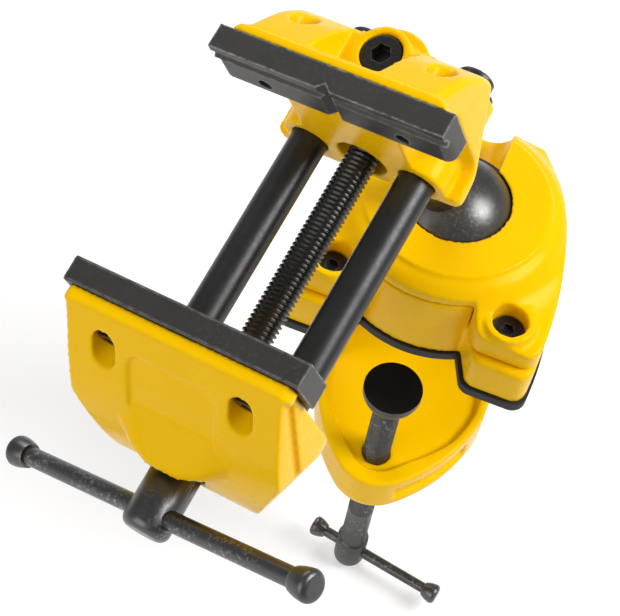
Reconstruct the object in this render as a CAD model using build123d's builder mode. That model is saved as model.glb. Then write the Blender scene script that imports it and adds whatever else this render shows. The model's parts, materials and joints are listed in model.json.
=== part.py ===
from build123d import *
import os
from math import asin, atan2, cos, degrees, pi, radians, sin, sqrt

os.makedirs("parts", exist_ok=True)

# A bench vise whose head leans and turns on a ball.
# Row frame: origin where the ball's vertical axis meets the bench top, x along the bench edge,
# y away from the user over the bench edge, z up.
# Head frame: origin in the middle of the top edge of the fixed jaw's working face,
# x along the jaws, y back along the guide rods, z up out of the jaw tops.

# Clearances
SEAT_FIT = 0.02
RUNNING_FIT = 0.05
LOOSE_FIT = 0.3
END_GAP = 0.3

# Ball and neck
BALL_RADIUS = 20.8
BALL_HEIGHT = 28.0
BALL_ROOM = 0.5
NECK_RADIUS = 7.3
SHANK_RADIUS = 6.0
NECK_REACH = 125.0
NECK_BACK = 24.1
LEAN = 22.0
LEAN_WAY = -136.7
HEAD_TURN = 126.3

# Jaw plates
JAW_LENGTH = 75.0
PLATE_THICK = 7.4
PLATE_HEIGHT = 15.4
PLATE_EDGE = 0.5
LIP_HEIGHT = 2.6
GROOVE_DEPTH = 1.1
GROOVE_END = 6.2
NOTCH_WIDTH = 4.6
NOTCH_DEPTH = 2.0
PLATE_END_ROUND = 3.0

# Spindle and guide rods
SPINDLE_PITCH = 1.5
OPENING_TURNS = 46
SPINDLE_RADIUS = 4.95
SPINDLE_DROP = 43.2
SPINDLE_TAIL = 6.0
ROD_RADIUS = 5.7
ROD_DROP = 44.0
ROD_SPACING = 36.2
ROD_TAIL = 6.8
ROD_DEPTH = 19.0
ROD_EDGE = 0.8
RING_THICK = 1.2
RING_RIM = 1.9
RING_BITE = 0.6

# Plate screws
PLATE_SCREW_SPACING = 44.6
PLATE_SCREW_DROP = 12.1
PLATE_SCREW_RADIUS = 2.1
PLATE_SCREW_HEAD = 3.5
PLATE_SCREW_HEAD_HEIGHT = 3.2
PLATE_SCREW_KEY = 3.0
PLATE_SCREW_SHY = 2.0
PLATE_SEAT = 4.5
ACCESS_RADIUS = 3.9

# Fixed jaw casting
FIXED_HALF = 31.0
FLANGE_HALF = 34.0
FLANGE_THICK = 2.8
FLANGE_ROUND = 3.0
FIXED_FRONT = 1.5
FIXED_REAR = 32.0
FIXED_BOTTOM = 53.2
FIXED_HOLD = 2.5
SCOOP_RADIUS = 16.0
SCOOP_FORWARD = 2.0
SCOOP_OUT = 3.0
SCOOP_DROP = 47.0
SCOOP_FLOOR = 5.0
ROD_BOSS_RADIUS = 9.0
FIXED_SIDE = [(12.5, -51.5), (31.5, -27.5), (28.8, -20.0), (22.5, -11.0)]
FIXED_BENDS = [2.5, 8.0, 3.0, 20.0, 40.0]
SPINDLE_MOUTH = 8.0
SPINDLE_MOUTH_DEPTH = 9.0
STUD_BOSS_RADIUS = 12.5
STUD_BOSS_BOTTOM = 63.0
SHANK_TOP = 53.4
SPOT_HALF = 11.0
SPOT_DROP = 18.4
SPOT_RING = 8.6
SPOT_SLOPE = [(10.8, 0), (11.6, -5.0), (17.0, -18.4)]
MIDDLE_TOP = 26.0
NUT_RADIUS = 9.0
NUT_LENGTH = 18.0
NUT_SCREW_RADIUS = 4.0
NUT_SCREW_HEAD = 6.1
NUT_SCREW_HEAD_HEIGHT = 6.0
NUT_SCREW_HEAD_DROP = 19.0
NUT_SCREW_BITE = 2.8
NUT_SCREW_KEY = 5.5
NUT_SCREW_EDGE = 0.6
NECK_PIN_RADIUS = 1.5
NECK_PIN_DROP = 58.2
NECK_PIN_BITE = 1.2
NECK_PIN_LENGTH = 20.0

# Moving jaw casting
MOVING_HALF = 34.8
MOVING_LIP_HALF = 36.4
MOVING_LIP_THICK = 4.0
MOVING_LIP_HEIGHT = 6.5
MOVING_LIP_DROP = 1.0
MOVING_BOTTOM = 57.5
MOVING_FOOT = 9.0
MOVING_SIDE_END = 34.0
MOVING_CORNER = (31.5, -48.6)
MOVING_FLAT = 21.0
MOVING_BULGE = [(22.8, -33.9), (13.8, -16.6)]
MOVING_DEPTH = 26.0
PANEL_HALF = 14.5
PANEL_TOP = 9.5
PANEL_BOTTOM = 36.0
PANEL_SINK = 1.2
PANEL_CORNER = 4.0
ACCESS_SLOT_WIDTH = 7.4
ACCESS_SLOT_HEIGHT = 10.5
FLANK_GROOVE_WIDTH = 2.7
FLANK_GROOVE_DEPTH = 1.6
FLANK_GROOVE_LENGTH = 35.5
FLANK_GROOVE_FORWARD = 9.6
FLANK_GROOVE_DROP = 24.5
FLANK_GROOVE_TILT = 68.5
CORNER_CUT = (35.0, -78.0, -43.5)
CORNER_FACING = (0.874, -0.283, -0.394)

# Spindle hub and its T-bar
HUB_RADIUS = 7.25
HUB_LENGTH = 24.5
HUB_START = 21.3
HUB_ROOM = 0.75
HUB_ROUND = 3.0
CLIP_THICK = 1.5
CLIP_RIM = 2.6
CLIP_BITE = 0.9
CLIP_RECESS = 4.0
BAR_RADIUS = 2.9
BAR_PLACE = 18.1
BAR_ROOM = 0.1
BAR_LENGTH = 118.0
BAR_TILT = 19.0
KNOB_RADIUS = 4.7
KNOB_LENGTH = 7.0
KNOB_DOME = 1.9
KNOB_NECK = 3.7
KNOB_SOCKET = 4.6

# Base castings
RING_TOP = 40.0
RING_RADIUS = 31.3
RING_STEP = 1.2
DOME = [(36.0, 36.0), (38.5, 33.2), (44.0, 30.2), (64.0, 26.5)]
PARTING = 20.0
PARTING_GAP = 0.4
ARCH_RADIUS = 36.8
ARCH_HALF = 17.6
ARCH_TOP = 31.0
LOBE_FRONT = 41.0
LOBE_SLANT = 0.45
FOOT_PROUD = 2.9
FOOT_EDGE = 1.5
BASE_HALF = 42.6
BASE_BOW = 4.0
BASE_REAR_HALF = 20.5
BASE_REAR = 38.0
LOBE_ROUND = 5.0
DRUM_RADIUS = 33.5
SOLE_THICK = 3.5
SOLE_PROUD = 0.8
REAR_NOTCH_HALF = 9.1
REAR_NOTCH_CENTRE = 34.0
REAR_NOTCH_START = 10.0
SEAT_THICK = 1.5
SEAT_LOW = 14.5
SEAT_HIGH = 8.4

# Saddle screws
SADDLE_SCREW_X = 30.0
SADDLE_SCREW_Y = 32.5
SADDLE_SCREW_RADIUS = 2.5
SADDLE_SCREW_HEAD = 5.2
SADDLE_SCREW_HEAD_HEIGHT = 3.2
SADDLE_SCREW_KEY = 4.0
SADDLE_SCREW_FLOOR = 2.8
SADDLE_SCREW_LENGTH = 14.0
RECESS_RADIUS = 5.8
RECESS_RIM = 8.3
RECESS_TOP = 31.5

# Column and clamp arm
COLUMN_FRONT = 18.0
COLUMN_HALF = 20.5
COLUMN_BEND = 25.0
ARM_TOP = 71.0
ARM_BOTTOM = 90.0
ARM_HALF = 32.0
ARM_WIDEST = 8.0
ARM_TIP = 51.0
ARM_NOSE = [(0.175, 0.98), (0.328, 0.927)]
ARM_CHEEK = (0.7375, 0.618)
ARM_EDGE = 3.0
TRAY_RIM = 3.4
TRAY_DEPTH = 3.0
TRAY_TOP = 4.0

# Clamp screw, its pad and its T-bar
CLAMP_AXIS = 36.2
CLAMP_RADIUS = 4.95
PAD_TOP = 27.0
PAD_RADIUS = 10.3
PAD_RIM = 2.6
PAD_DEPTH = 10.0
PAD_NECK = 6.6
PAD_SIDE = 1.2
PAD_FLOOR = 2.5
TIP_HEAD_RADIUS = 4.5
TIP_HEAD_HEIGHT = 3.2
TIP_NECK_RADIUS = 3.0
TIP_TAPER = 2.5
PAD_CLIP_THICK = 1.4
CLAMP_HUB_RADIUS = 6.1
CLAMP_HUB_ABOVE = 10.0
CLAMP_HUB_BELOW = 9.0
CLAMP_HUB_ROUND = 3.6
CLAMP_BAR_DROP = 153.8
CLAMP_BAR_RADIUS = 2.1
CLAMP_BAR_LENGTH = 51.0
CLAMP_BAR_SLID = 11.0
CLAMP_BAR_TURN = -10.0
CLAMP_KNOB_RADIUS = 4.0
CLAMP_KNOB_LENGTH = 6.0
CLAMP_KNOB_NECK = 2.6
CLAMP_KNOB_DOME = 1.6
CLAMP_KNOB_SOCKET = 3.6

# Worked out from the values above
JAW_OPENING = OPENING_TURNS * SPINDLE_PITCH
MOVING_FACE = -JAW_OPENING
MOVING_BACK = MOVING_FACE - PLATE_THICK
FLANGE_BACK = PLATE_THICK + FLANGE_THICK
BALL_POCKET = BALL_RADIUS + BALL_ROOM
SEAT_INNER = BALL_RADIUS + RUNNING_FIT
SEAT_OUTER = SEAT_INNER + SEAT_THICK
BASE_WAIST = BASE_HALF - BASE_BOW
CLAMP_HUB_TOP = CLAMP_BAR_DROP - CLAMP_HUB_ABOVE
CLAMP_HUB_BOTTOM = CLAMP_BAR_DROP + CLAMP_HUB_BELOW

HEAD = (
    Location((0, 0, BALL_HEIGHT))
    * Rotation(0, 0, LEAN_WAY)
    * Rotation(0, LEAN, 0)
    * Rotation(0, 0, HEAD_TURN)
    * Location((0, -NECK_BACK, NECK_REACH))
)


def on_head(plane):
    """A plane of the head frame, placed in the row frame."""
    return Plane(HEAD * plane.location)


def level(z):
    """Level plane of the head at height z: local x right, local y back."""
    return on_head(Plane.XY.offset(z))


def upright(y):
    """Plane across the rods at y: local x right, local y up, its normal towards the T-bar."""
    return on_head(Plane.XZ.offset(-y))


def lengthwise(x):
    """Plane along the rods at x: local x back, local y up, its normal to the right."""
    return on_head(Plane.YZ.offset(x))


def head_axis(plane):
    """The normal of a head plane as an axis, for choosing edges and faces."""
    return Axis(plane.origin, plane.z_dir)


HEAD_X = head_axis(lengthwise(0))
HEAD_Y = head_axis(upright(0))
HEAD_Z = head_axis(level(0))


def keep(name, part):
    """Label a finished piece and write it."""
    part.label = name
    export_step(part, f"parts/{name}.step")


# Centres of the repeated features, on the plane that each block names
half_screws = PLATE_SCREW_SPACING / 2
PLATE_SCREWS = [(-half_screws, -PLATE_SCREW_DROP), (half_screws, -PLATE_SCREW_DROP)]
RODS = {"left": -ROD_SPACING / 2, "right": ROD_SPACING / 2}
ROD_CENTRES = [(x, -ROD_DROP) for x in RODS.values()]
SADDLE_SCREWS = [(-SADDLE_SCREW_X, -SADDLE_SCREW_Y), (SADDLE_SCREW_X, -SADDLE_SCREW_Y)]


# Jaw plates

with BuildPart() as fixed_jaw_plate:
    with BuildSketch(lengthwise(0)):
        with BuildLine():
            Polyline(
                (0, 0),
                (0, -LIP_HEIGHT),
                (GROOVE_DEPTH, -LIP_HEIGHT - GROOVE_DEPTH),
                (GROOVE_DEPTH, -GROOVE_END + GROOVE_DEPTH),
                (0, -GROOVE_END),
                (0, -PLATE_HEIGHT),
                (PLATE_THICK, -PLATE_HEIGHT),
                (PLATE_THICK, 0),
                close=True,
            )
        make_face()
    extrude(amount=JAW_LENGTH / 2, both=True)
    with BuildSketch(level(0)):
        with BuildLine():
            Polyline((-NOTCH_WIDTH / 2, 0), (0, NOTCH_DEPTH), (NOTCH_WIDTH / 2, 0), close=True)
        make_face()
    extrude(amount=-PLATE_HEIGHT, mode=Mode.SUBTRACT)
    round_centre = JAW_LENGTH / 2 - PLATE_END_ROUND
    with BuildSketch(level(-GROOVE_END)):
        with Locations((-JAW_LENGTH / 2, 0), (JAW_LENGTH / 2, 0)):
            Rectangle(2 * PLATE_END_ROUND, 2 * PLATE_END_ROUND)
        with Locations((-round_centre, PLATE_END_ROUND), (round_centre, PLATE_END_ROUND)):
            Circle(PLATE_END_ROUND, mode=Mode.SUBTRACT)
    extrude(amount=-PLATE_HEIGHT, mode=Mode.SUBTRACT)
    with BuildSketch(upright(PLATE_THICK)):
        with Locations(*PLATE_SCREWS):
            Circle(PLATE_SCREW_RADIUS + SEAT_FIT)
    extrude(amount=PLATE_THICK, mode=Mode.SUBTRACT)
keep("fixed_jaw_plate", fixed_jaw_plate.part)

with BuildPart() as moving_jaw_plate:
    with BuildSketch(upright(MOVING_FACE)):
        with Locations((0, -PLATE_HEIGHT / 2)):
            Rectangle(JAW_LENGTH, PLATE_HEIGHT)
    extrude(amount=PLATE_THICK)
    chamfer(moving_jaw_plate.edges().filter_by(HEAD_X), length=PLATE_EDGE)
    with BuildSketch(upright(MOVING_FACE)):
        with Locations(*PLATE_SCREWS):
            Circle(PLATE_SCREW_RADIUS + SEAT_FIT)
    extrude(amount=PLATE_THICK, mode=Mode.SUBTRACT)
keep("moving_jaw_plate", moving_jaw_plate.part)


# Fixed jaw casting, on the ball's neck

NUT_FRONT = FIXED_REAR - NUT_LENGTH
PIN_BACK = NECK_BACK - SHANK_RADIUS - NECK_PIN_RADIUS + NECK_PIN_BITE

# The hollows either side of the rod bosses, open to the front
with BuildPart() as scoops:
    with BuildSketch(level(-PLATE_HEIGHT)):
        with Locations((-FIXED_HALF - SCOOP_OUT, -SCOOP_FORWARD), (FIXED_HALF + SCOOP_OUT, -SCOOP_FORWARD)):
            Circle(SCOOP_RADIUS)
    extrude(amount=-(SCOOP_DROP - PLATE_HEIGHT))
    fillet(scoops.faces().group_by(HEAD_Z)[0].edges(), radius=SCOOP_FLOOR)

with BuildPart() as fixed_jaw:
    with BuildSketch(lengthwise(0)):
        with BuildLine():
            FilletPolyline(
                (FIXED_FRONT, 0),
                (FIXED_FRONT, -FIXED_BOTTOM),
                *FIXED_SIDE,
                (FLANGE_BACK, 0),
                radius=FIXED_BENDS,
            )
            Line((FLANGE_BACK, 0), (FIXED_FRONT, 0))
        make_face()
    extrude(amount=FIXED_HALF, both=True)
    fillet(fixed_jaw.faces().filter_by(HEAD_X).edges(), radius=FIXED_HOLD)
    add(scoops.part, mode=Mode.SUBTRACT)
    with BuildSketch(upright(FIXED_FRONT)):
        with Locations(*ROD_CENTRES):
            Circle(ROD_BOSS_RADIUS)
        with Locations((0, -(MIDDLE_TOP + FIXED_BOTTOM) / 2)):
            Rectangle(2 * STUD_BOSS_RADIUS, FIXED_BOTTOM - MIDDLE_TOP)
        with Locations((0, -(ROD_DROP + FIXED_BOTTOM) / 2)):
            Rectangle(ROD_SPACING, FIXED_BOTTOM - ROD_DROP)
    extrude(amount=-(FIXED_REAR - FIXED_FRONT))
    with BuildSketch(level(-STUD_BOSS_BOTTOM)):
        with Locations((0, NECK_BACK)):
            Circle(STUD_BOSS_RADIUS)
    extrude(amount=STUD_BOSS_BOTTOM - MIDDLE_TOP)
    with BuildSketch(level(-MIDDLE_TOP)):
        with Locations((0, NECK_BACK)):
            Circle(SPOT_RING)
    extrude(amount=MIDDLE_TOP - SPOT_DROP)
    with BuildSketch(level(0)):
        with Locations((0, FLANGE_BACK / 2)):
            RectangleRounded(2 * FLANGE_HALF, FLANGE_BACK, FLANGE_ROUND)
    extrude(amount=-PLATE_HEIGHT)
    with BuildSketch(lengthwise(0)):
        with Locations((0, 0)):
            Rectangle(2 * PLATE_THICK, 2 * PLATE_HEIGHT)
    extrude(amount=JAW_LENGTH, both=True, mode=Mode.SUBTRACT)
    with BuildSketch(lengthwise(0)):
        with BuildLine():
            Polyline(*SPOT_SLOPE, (2 * FIXED_REAR, -SPOT_DROP), (2 * FIXED_REAR, 0), SPOT_SLOPE[0])
        make_face()
    extrude(amount=SPOT_HALF, both=True, mode=Mode.SUBTRACT)
    with BuildSketch(level(-SPOT_DROP)):
        with Locations((0, NECK_BACK)):
            Circle(NUT_SCREW_HEAD + LOOSE_FIT)
    extrude(amount=-(NUT_SCREW_HEAD_DROP + NUT_SCREW_HEAD_HEIGHT - SPOT_DROP), mode=Mode.SUBTRACT)
    with BuildSketch(level(-SPOT_DROP)):
        with Locations((0, NECK_BACK)):
            Circle(NUT_SCREW_RADIUS + LOOSE_FIT)
    extrude(amount=-(SPINDLE_DROP - SPOT_DROP), mode=Mode.SUBTRACT)
    with BuildSketch(upright(0)):
        with Locations((0, -SPINDLE_DROP)):
            Circle(SPINDLE_RADIUS + LOOSE_FIT)
    extrude(amount=-FIXED_REAR, mode=Mode.SUBTRACT)
    with BuildSketch(upright(0)):
        with Locations((0, -SPINDLE_DROP)):
            Circle(SPINDLE_MOUTH)
    extrude(amount=-SPINDLE_MOUTH_DEPTH, mode=Mode.SUBTRACT)
    with BuildSketch(upright(NUT_FRONT)):
        with Locations((0, -SPINDLE_DROP)):
            Circle(NUT_RADIUS + SEAT_FIT)
    extrude(amount=-2 * NUT_LENGTH, mode=Mode.SUBTRACT)
    with BuildSketch(upright(0)):
        with Locations(*ROD_CENTRES):
            Circle(ROD_RADIUS + RUNNING_FIT)
    extrude(amount=-2 * FIXED_REAR, mode=Mode.SUBTRACT)
    with BuildSketch(level(-STUD_BOSS_BOTTOM)):
        with Locations((0, NECK_BACK)):
            Circle(SHANK_RADIUS + RUNNING_FIT)
    extrude(amount=STUD_BOSS_BOTTOM - SHANK_TOP + END_GAP, mode=Mode.SUBTRACT)
    with BuildSketch(lengthwise(0)):
        with Locations((PIN_BACK, -NECK_PIN_DROP)):
            Circle(NECK_PIN_RADIUS + SEAT_FIT)
    extrude(amount=STUD_BOSS_RADIUS, both=True, mode=Mode.SUBTRACT)
    with BuildSketch(upright(PLATE_THICK)):
        with Locations(*PLATE_SCREWS):
            Circle(PLATE_SCREW_RADIUS + LOOSE_FIT)
    extrude(amount=-FIXED_REAR, mode=Mode.SUBTRACT)
    with BuildSketch(upright(PLATE_THICK + PLATE_SEAT)):
        with Locations(*PLATE_SCREWS):
            Circle(ACCESS_RADIUS)
    extrude(amount=-FIXED_REAR, mode=Mode.SUBTRACT)
keep("fixed_jaw", fixed_jaw.part)


# Screws behind each plate, their heads seated in the castings


def plate_screws(plate_back, outward):
    """The two screws of one plate: heads against the casting's seat, tips inside the plate."""
    seat = plate_back + outward * PLATE_SEAT
    reach = PLATE_SEAT + PLATE_THICK - PLATE_SCREW_SHY
    with BuildPart() as screws:
        with BuildSketch(upright(seat)):
            with Locations(*PLATE_SCREWS):
                Circle(PLATE_SCREW_HEAD)
        extrude(amount=-outward * PLATE_SCREW_HEAD_HEIGHT)
        with BuildSketch(upright(seat)):
            with Locations(*PLATE_SCREWS):
                Circle(PLATE_SCREW_RADIUS)
        extrude(amount=outward * reach)
        with BuildSketch(upright(seat + outward * PLATE_SCREW_HEAD_HEIGHT)):
            with Locations(*PLATE_SCREWS):
                RegularPolygon(PLATE_SCREW_KEY / 2, 6, major_radius=False)
        extrude(amount=outward * PLATE_SCREW_HEAD_HEIGHT / 2, mode=Mode.SUBTRACT)
    return screws.part


keep("fixed_plate_screws", plate_screws(PLATE_THICK, 1))
keep("moving_plate_screws", plate_screws(MOVING_BACK, -1))


# Spindle nut, the screw that holds it, and the neck's cross pin

with BuildPart() as spindle_nut:
    with BuildSketch(upright(NUT_FRONT)):
        with Locations((0, -SPINDLE_DROP)):
            Circle(NUT_RADIUS)
            Circle(SPINDLE_RADIUS + RUNNING_FIT, mode=Mode.SUBTRACT)
    extrude(amount=-NUT_LENGTH)
    with BuildSketch(level(-SPINDLE_DROP + NUT_RADIUS)):
        with Locations((0, NECK_BACK)):
            Circle(NUT_SCREW_RADIUS + SEAT_FIT)
    extrude(amount=-(NUT_SCREW_BITE + SEAT_FIT), mode=Mode.SUBTRACT)
keep("spindle_nut", spindle_nut.part)

HEAD_SEAT = NUT_SCREW_HEAD_DROP + NUT_SCREW_HEAD_HEIGHT

with BuildPart() as nut_screw:
    with BuildSketch(level(-HEAD_SEAT)):
        with Locations((0, NECK_BACK)):
            Circle(NUT_SCREW_HEAD)
    extrude(amount=NUT_SCREW_HEAD_HEIGHT)
    fillet(nut_screw.faces().sort_by(HEAD_Z)[-1].edges(), radius=NUT_SCREW_EDGE)
    with BuildSketch(level(-HEAD_SEAT)):
        with Locations((0, NECK_BACK)):
            Circle(NUT_SCREW_RADIUS)
    extrude(amount=-(SPINDLE_DROP - NUT_RADIUS + NUT_SCREW_BITE - HEAD_SEAT))
    with BuildSketch(level(-NUT_SCREW_HEAD_DROP)):
        with Locations((0, NECK_BACK)):
            RegularPolygon(NUT_SCREW_KEY / 2, 6, major_radius=False)
    extrude(amount=-NUT_SCREW_HEAD_HEIGHT / 2, mode=Mode.SUBTRACT)
keep("nut_screw", nut_screw.part)

with BuildPart() as neck_pin:
    with BuildSketch(lengthwise(0)):
        with Locations((PIN_BACK, -NECK_PIN_DROP)):
            Circle(NECK_PIN_RADIUS)
    extrude(amount=NECK_PIN_LENGTH / 2, both=True)
keep("neck_pin", neck_pin.part)


# Ball stud, turned about its neck

NECK_FRAME = HEAD * Location((0, NECK_BACK, -NECK_REACH))
NECK_SECTION = Plane(NECK_FRAME * Plane.XZ.location)
NECK_AXIS = Axis(NECK_SECTION.origin, NECK_SECTION.y_dir)
SHOULDER = NECK_REACH - STUD_BOSS_BOTTOM - END_GAP
SHANK_END = NECK_REACH - SHANK_TOP
PIN_UP = NECK_REACH - NECK_PIN_DROP
GROOVE_FLOOR = SHANK_RADIUS - NECK_PIN_BITE - RUNNING_FIT
GROOVE_HALF = NECK_PIN_RADIUS + RUNNING_FIT

with BuildPart() as ball_stud:
    with BuildSketch(NECK_SECTION):
        with BuildLine():
            joint_up = sqrt(BALL_RADIUS**2 - NECK_RADIUS**2)
            ThreePointArc((0, -BALL_RADIUS), (BALL_RADIUS, 0), (NECK_RADIUS, joint_up))
            Polyline(
                (NECK_RADIUS, joint_up),
                (NECK_RADIUS, SHOULDER),
                (SHANK_RADIUS, SHOULDER),
                (SHANK_RADIUS, PIN_UP - GROOVE_HALF),
                (GROOVE_FLOOR, PIN_UP - GROOVE_HALF),
                (GROOVE_FLOOR, PIN_UP + GROOVE_HALF),
                (SHANK_RADIUS, PIN_UP + GROOVE_HALF),
                (SHANK_RADIUS, SHANK_END),
                (0, SHANK_END),
                (0, -BALL_RADIUS),
            )
        make_face()
    revolve(axis=NECK_AXIS)
keep("ball_stud", ball_stud.part)


# Ball seat: a liner, part of a hollow sphere, open above and below


def zone_point(radius, height):
    """Point of a circle about the ball's centre at a height above it."""
    return (sqrt(radius**2 - height**2), height)


BALL_SECTION = Plane.XZ.shift_origin((0, 0, BALL_HEIGHT))

with BuildPart() as ball_seat:
    with BuildSketch(BALL_SECTION):
        with BuildLine():
            ThreePointArc(
                zone_point(SEAT_INNER, -SEAT_LOW),
                (SEAT_INNER, 0),
                zone_point(SEAT_INNER, SEAT_HIGH),
            )
            Line(zone_point(SEAT_INNER, SEAT_HIGH), zone_point(SEAT_OUTER, SEAT_HIGH))
            ThreePointArc(
                zone_point(SEAT_OUTER, SEAT_HIGH),
                (SEAT_OUTER, 0),
                zone_point(SEAT_OUTER, -SEAT_LOW),
            )
            Line(zone_point(SEAT_OUTER, -SEAT_LOW), zone_point(SEAT_INNER, -SEAT_LOW))
        make_face()
    revolve(axis=Axis.Z)
keep("ball_seat", ball_seat.part)

# The hollow that both castings leave for the ball and its seat
with BuildPart() as ball_hollow:
    with Locations((0, 0, BALL_HEIGHT)):
        Sphere(BALL_POCKET)
    with BuildSketch(BALL_SECTION):
        with BuildLine():
            room = SEAT_OUTER + RUNNING_FIT
            top = SEAT_HIGH + END_GAP
            low = SEAT_LOW + END_GAP
            ThreePointArc(zone_point(room, -low), (room, 0), zone_point(room, top))
            Polyline(zone_point(room, top), (0, top), (0, -low), zone_point(room, -low))
        make_face()
    revolve(axis=Axis.Z)


# Base outlines seen from above

FRONT_OF = (Align.CENTER, Align.MAX)


def base_outline(front, grown=0.0):
    """Two lobes either side of the arch, bowed flanks and a straight rear edge, grown all round."""
    radius = ARCH_RADIUS + grown
    inner = ARCH_HALF - grown
    arch_front = -sqrt(radius**2 - inner**2)
    lobe_front = -front - grown
    lobe_inner = inner + LOBE_SLANT * (arch_front - lobe_front)
    outer = BASE_HALF + grown
    with BuildSketch() as outline:
        with BuildLine():
            ThreePointArc((0, -radius), (inner / 2, -sqrt(radius**2 - inner**2 / 4)), (inner, arch_front))
            Polyline(
                (inner, arch_front),
                (lobe_inner, lobe_front),
                (outer, lobe_front),
                (outer, lobe_front + LOBE_ROUND),
            )
            ThreePointArc(
                (outer, lobe_front + LOBE_ROUND),
                (BASE_WAIST + grown, 0),
                (BASE_REAR_HALF + grown, BASE_REAR),
            )
            Line((BASE_REAR_HALF + grown, BASE_REAR), (0, BASE_REAR))
            mirror(about=Plane.YZ)
        make_face()
        corners = outline.vertices().group_by(Axis.Y)[0]
        fillet(corners, radius=LOBE_ROUND)
    return outline.sketch


# Saddle: the feet, the arch between them and the drum that carries the ball

with BuildPart() as saddle:
    with BuildSketch(Plane.XY.offset(SOLE_THICK)):
        add(base_outline(LOBE_FRONT + FOOT_PROUD))
        with Locations((0, COLUMN_FRONT - END_GAP)):
            Rectangle(4 * BASE_HALF, 4 * BASE_REAR, align=FRONT_OF, mode=Mode.INTERSECT)
    extrude(amount=PARTING - PARTING_GAP - SOLE_THICK)
    fillet(saddle.faces().sort_by(Axis.Z)[-1].edges(), radius=FOOT_EDGE)
    with BuildSketch(Plane.XY.offset(SOLE_THICK)):
        Circle(DRUM_RADIUS)
        with Locations((0, 0)):
            Rectangle(2 * ARCH_HALF, 2 * ARCH_RADIUS)
        Circle(ARCH_RADIUS, mode=Mode.INTERSECT)
        with Locations((0, COLUMN_FRONT - END_GAP)):
            Rectangle(4 * BASE_HALF, 4 * BASE_REAR, align=FRONT_OF, mode=Mode.INTERSECT)
    extrude(amount=ARCH_TOP - SOLE_THICK)
    add(ball_hollow.part, mode=Mode.SUBTRACT)
    with BuildSketch(Plane.XY.offset(PARTING)):
        with Locations(*SADDLE_SCREWS):
            Circle(SADDLE_SCREW_RADIUS + SEAT_FIT)
    extrude(amount=-(SADDLE_SCREW_LENGTH - SADDLE_SCREW_FLOOR + END_GAP), mode=Mode.SUBTRACT)
keep("saddle", saddle.part)

with BuildPart() as base_pad:
    with BuildSketch(Plane.XY):
        add(base_outline(LOBE_FRONT + FOOT_PROUD, SOLE_PROUD))
        with Locations((0, COLUMN_FRONT - END_GAP)):
            Rectangle(4 * BASE_HALF, 4 * BASE_REAR, align=FRONT_OF, mode=Mode.INTERSECT)
    extrude(amount=SOLE_THICK)
keep("base_pad", base_pad.part)


# Column and clamp arm, one casting with the cap

ARM_PLAN = [(ARM_HALF * across, -ARM_TIP * out) for across, out in [*ARM_NOSE, ARM_CHEEK]]


def arm_outline():
    """The clamp arm seen from above: a rounded wedge that narrows to the column."""
    with BuildSketch() as outline:
        with BuildLine():
            ThreePointArc((0, -ARM_TIP), *ARM_PLAN[:2])
            ThreePointArc(*ARM_PLAN[1:], (ARM_HALF, -ARM_WIDEST))
            Polyline(
                (ARM_HALF, -ARM_WIDEST),
                (ARM_HALF, 0),
                (COLUMN_HALF, COLUMN_FRONT + 2),
                (COLUMN_HALF, BASE_REAR),
                (0, BASE_REAR),
            )
            mirror(about=Plane.YZ)
        make_face()
    return outline.sketch


def arm_side(front, top, under_cap, bend):
    """Side view of the room in front of the column and above the arm, as one face."""
    with BuildSketch() as side:
        with BuildLine():
            Polyline(
                (front, under_cap),
                (-2 * ARM_TIP, under_cap),
                (-2 * ARM_TIP, -top),
                (front - bend, -top),
            )
            ThreePointArc(
                (front - bend, -top),
                (front - bend * (1 - sin(pi / 4)), -top + bend * (1 - cos(pi / 4))),
                (front, -top + bend),
            )
            Line((front, -top + bend), (front, under_cap))
        make_face()
    return side.sketch


with BuildPart() as tray:
    with BuildSketch(Plane.YZ):
        add(arm_side(COLUMN_FRONT + TRAY_DEPTH, ARM_TOP + TRAY_DEPTH, -TRAY_TOP, COLUMN_BEND))
    extrude(amount=2 * ARM_HALF, both=True)
    with BuildSketch(Plane.XY.offset(-ARM_BOTTOM)):
        add(arm_outline())
        offset(amount=-TRAY_RIM)
    extrude(amount=2 * ARM_BOTTOM, mode=Mode.INTERSECT)

# The rooms that the cap leaves above its dome and around the saddle's drum and arch

with BuildPart() as cap_hood:
    with BuildSketch(Plane.XZ):
        with BuildLine():
            Line((RING_RADIUS, 2 * RING_TOP), (RING_RADIUS, RING_TOP - RING_STEP))
            Spline((RING_RADIUS, RING_TOP - RING_STEP), *DOME)
            Polyline(DOME[-1], (DOME[-1][0], 2 * RING_TOP), (RING_RADIUS, 2 * RING_TOP))
        make_face()
    revolve(axis=Axis.Z)

with BuildPart() as drum_room:
    with BuildSketch(Plane.XY.offset(PARTING)):
        Circle(DRUM_RADIUS + END_GAP)
        with Locations((0, 0)):
            Rectangle(2 * (ARCH_HALF + END_GAP), 4 * ARCH_RADIUS)
        with Locations((0, COLUMN_FRONT)):
            Rectangle(4 * BASE_HALF, 4 * BASE_REAR, align=FRONT_OF, mode=Mode.INTERSECT)
    extrude(amount=ARCH_TOP + PARTING_GAP - PARTING)

SCREW_SEAT = PARTING + SADDLE_SCREW_FLOOR

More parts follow.
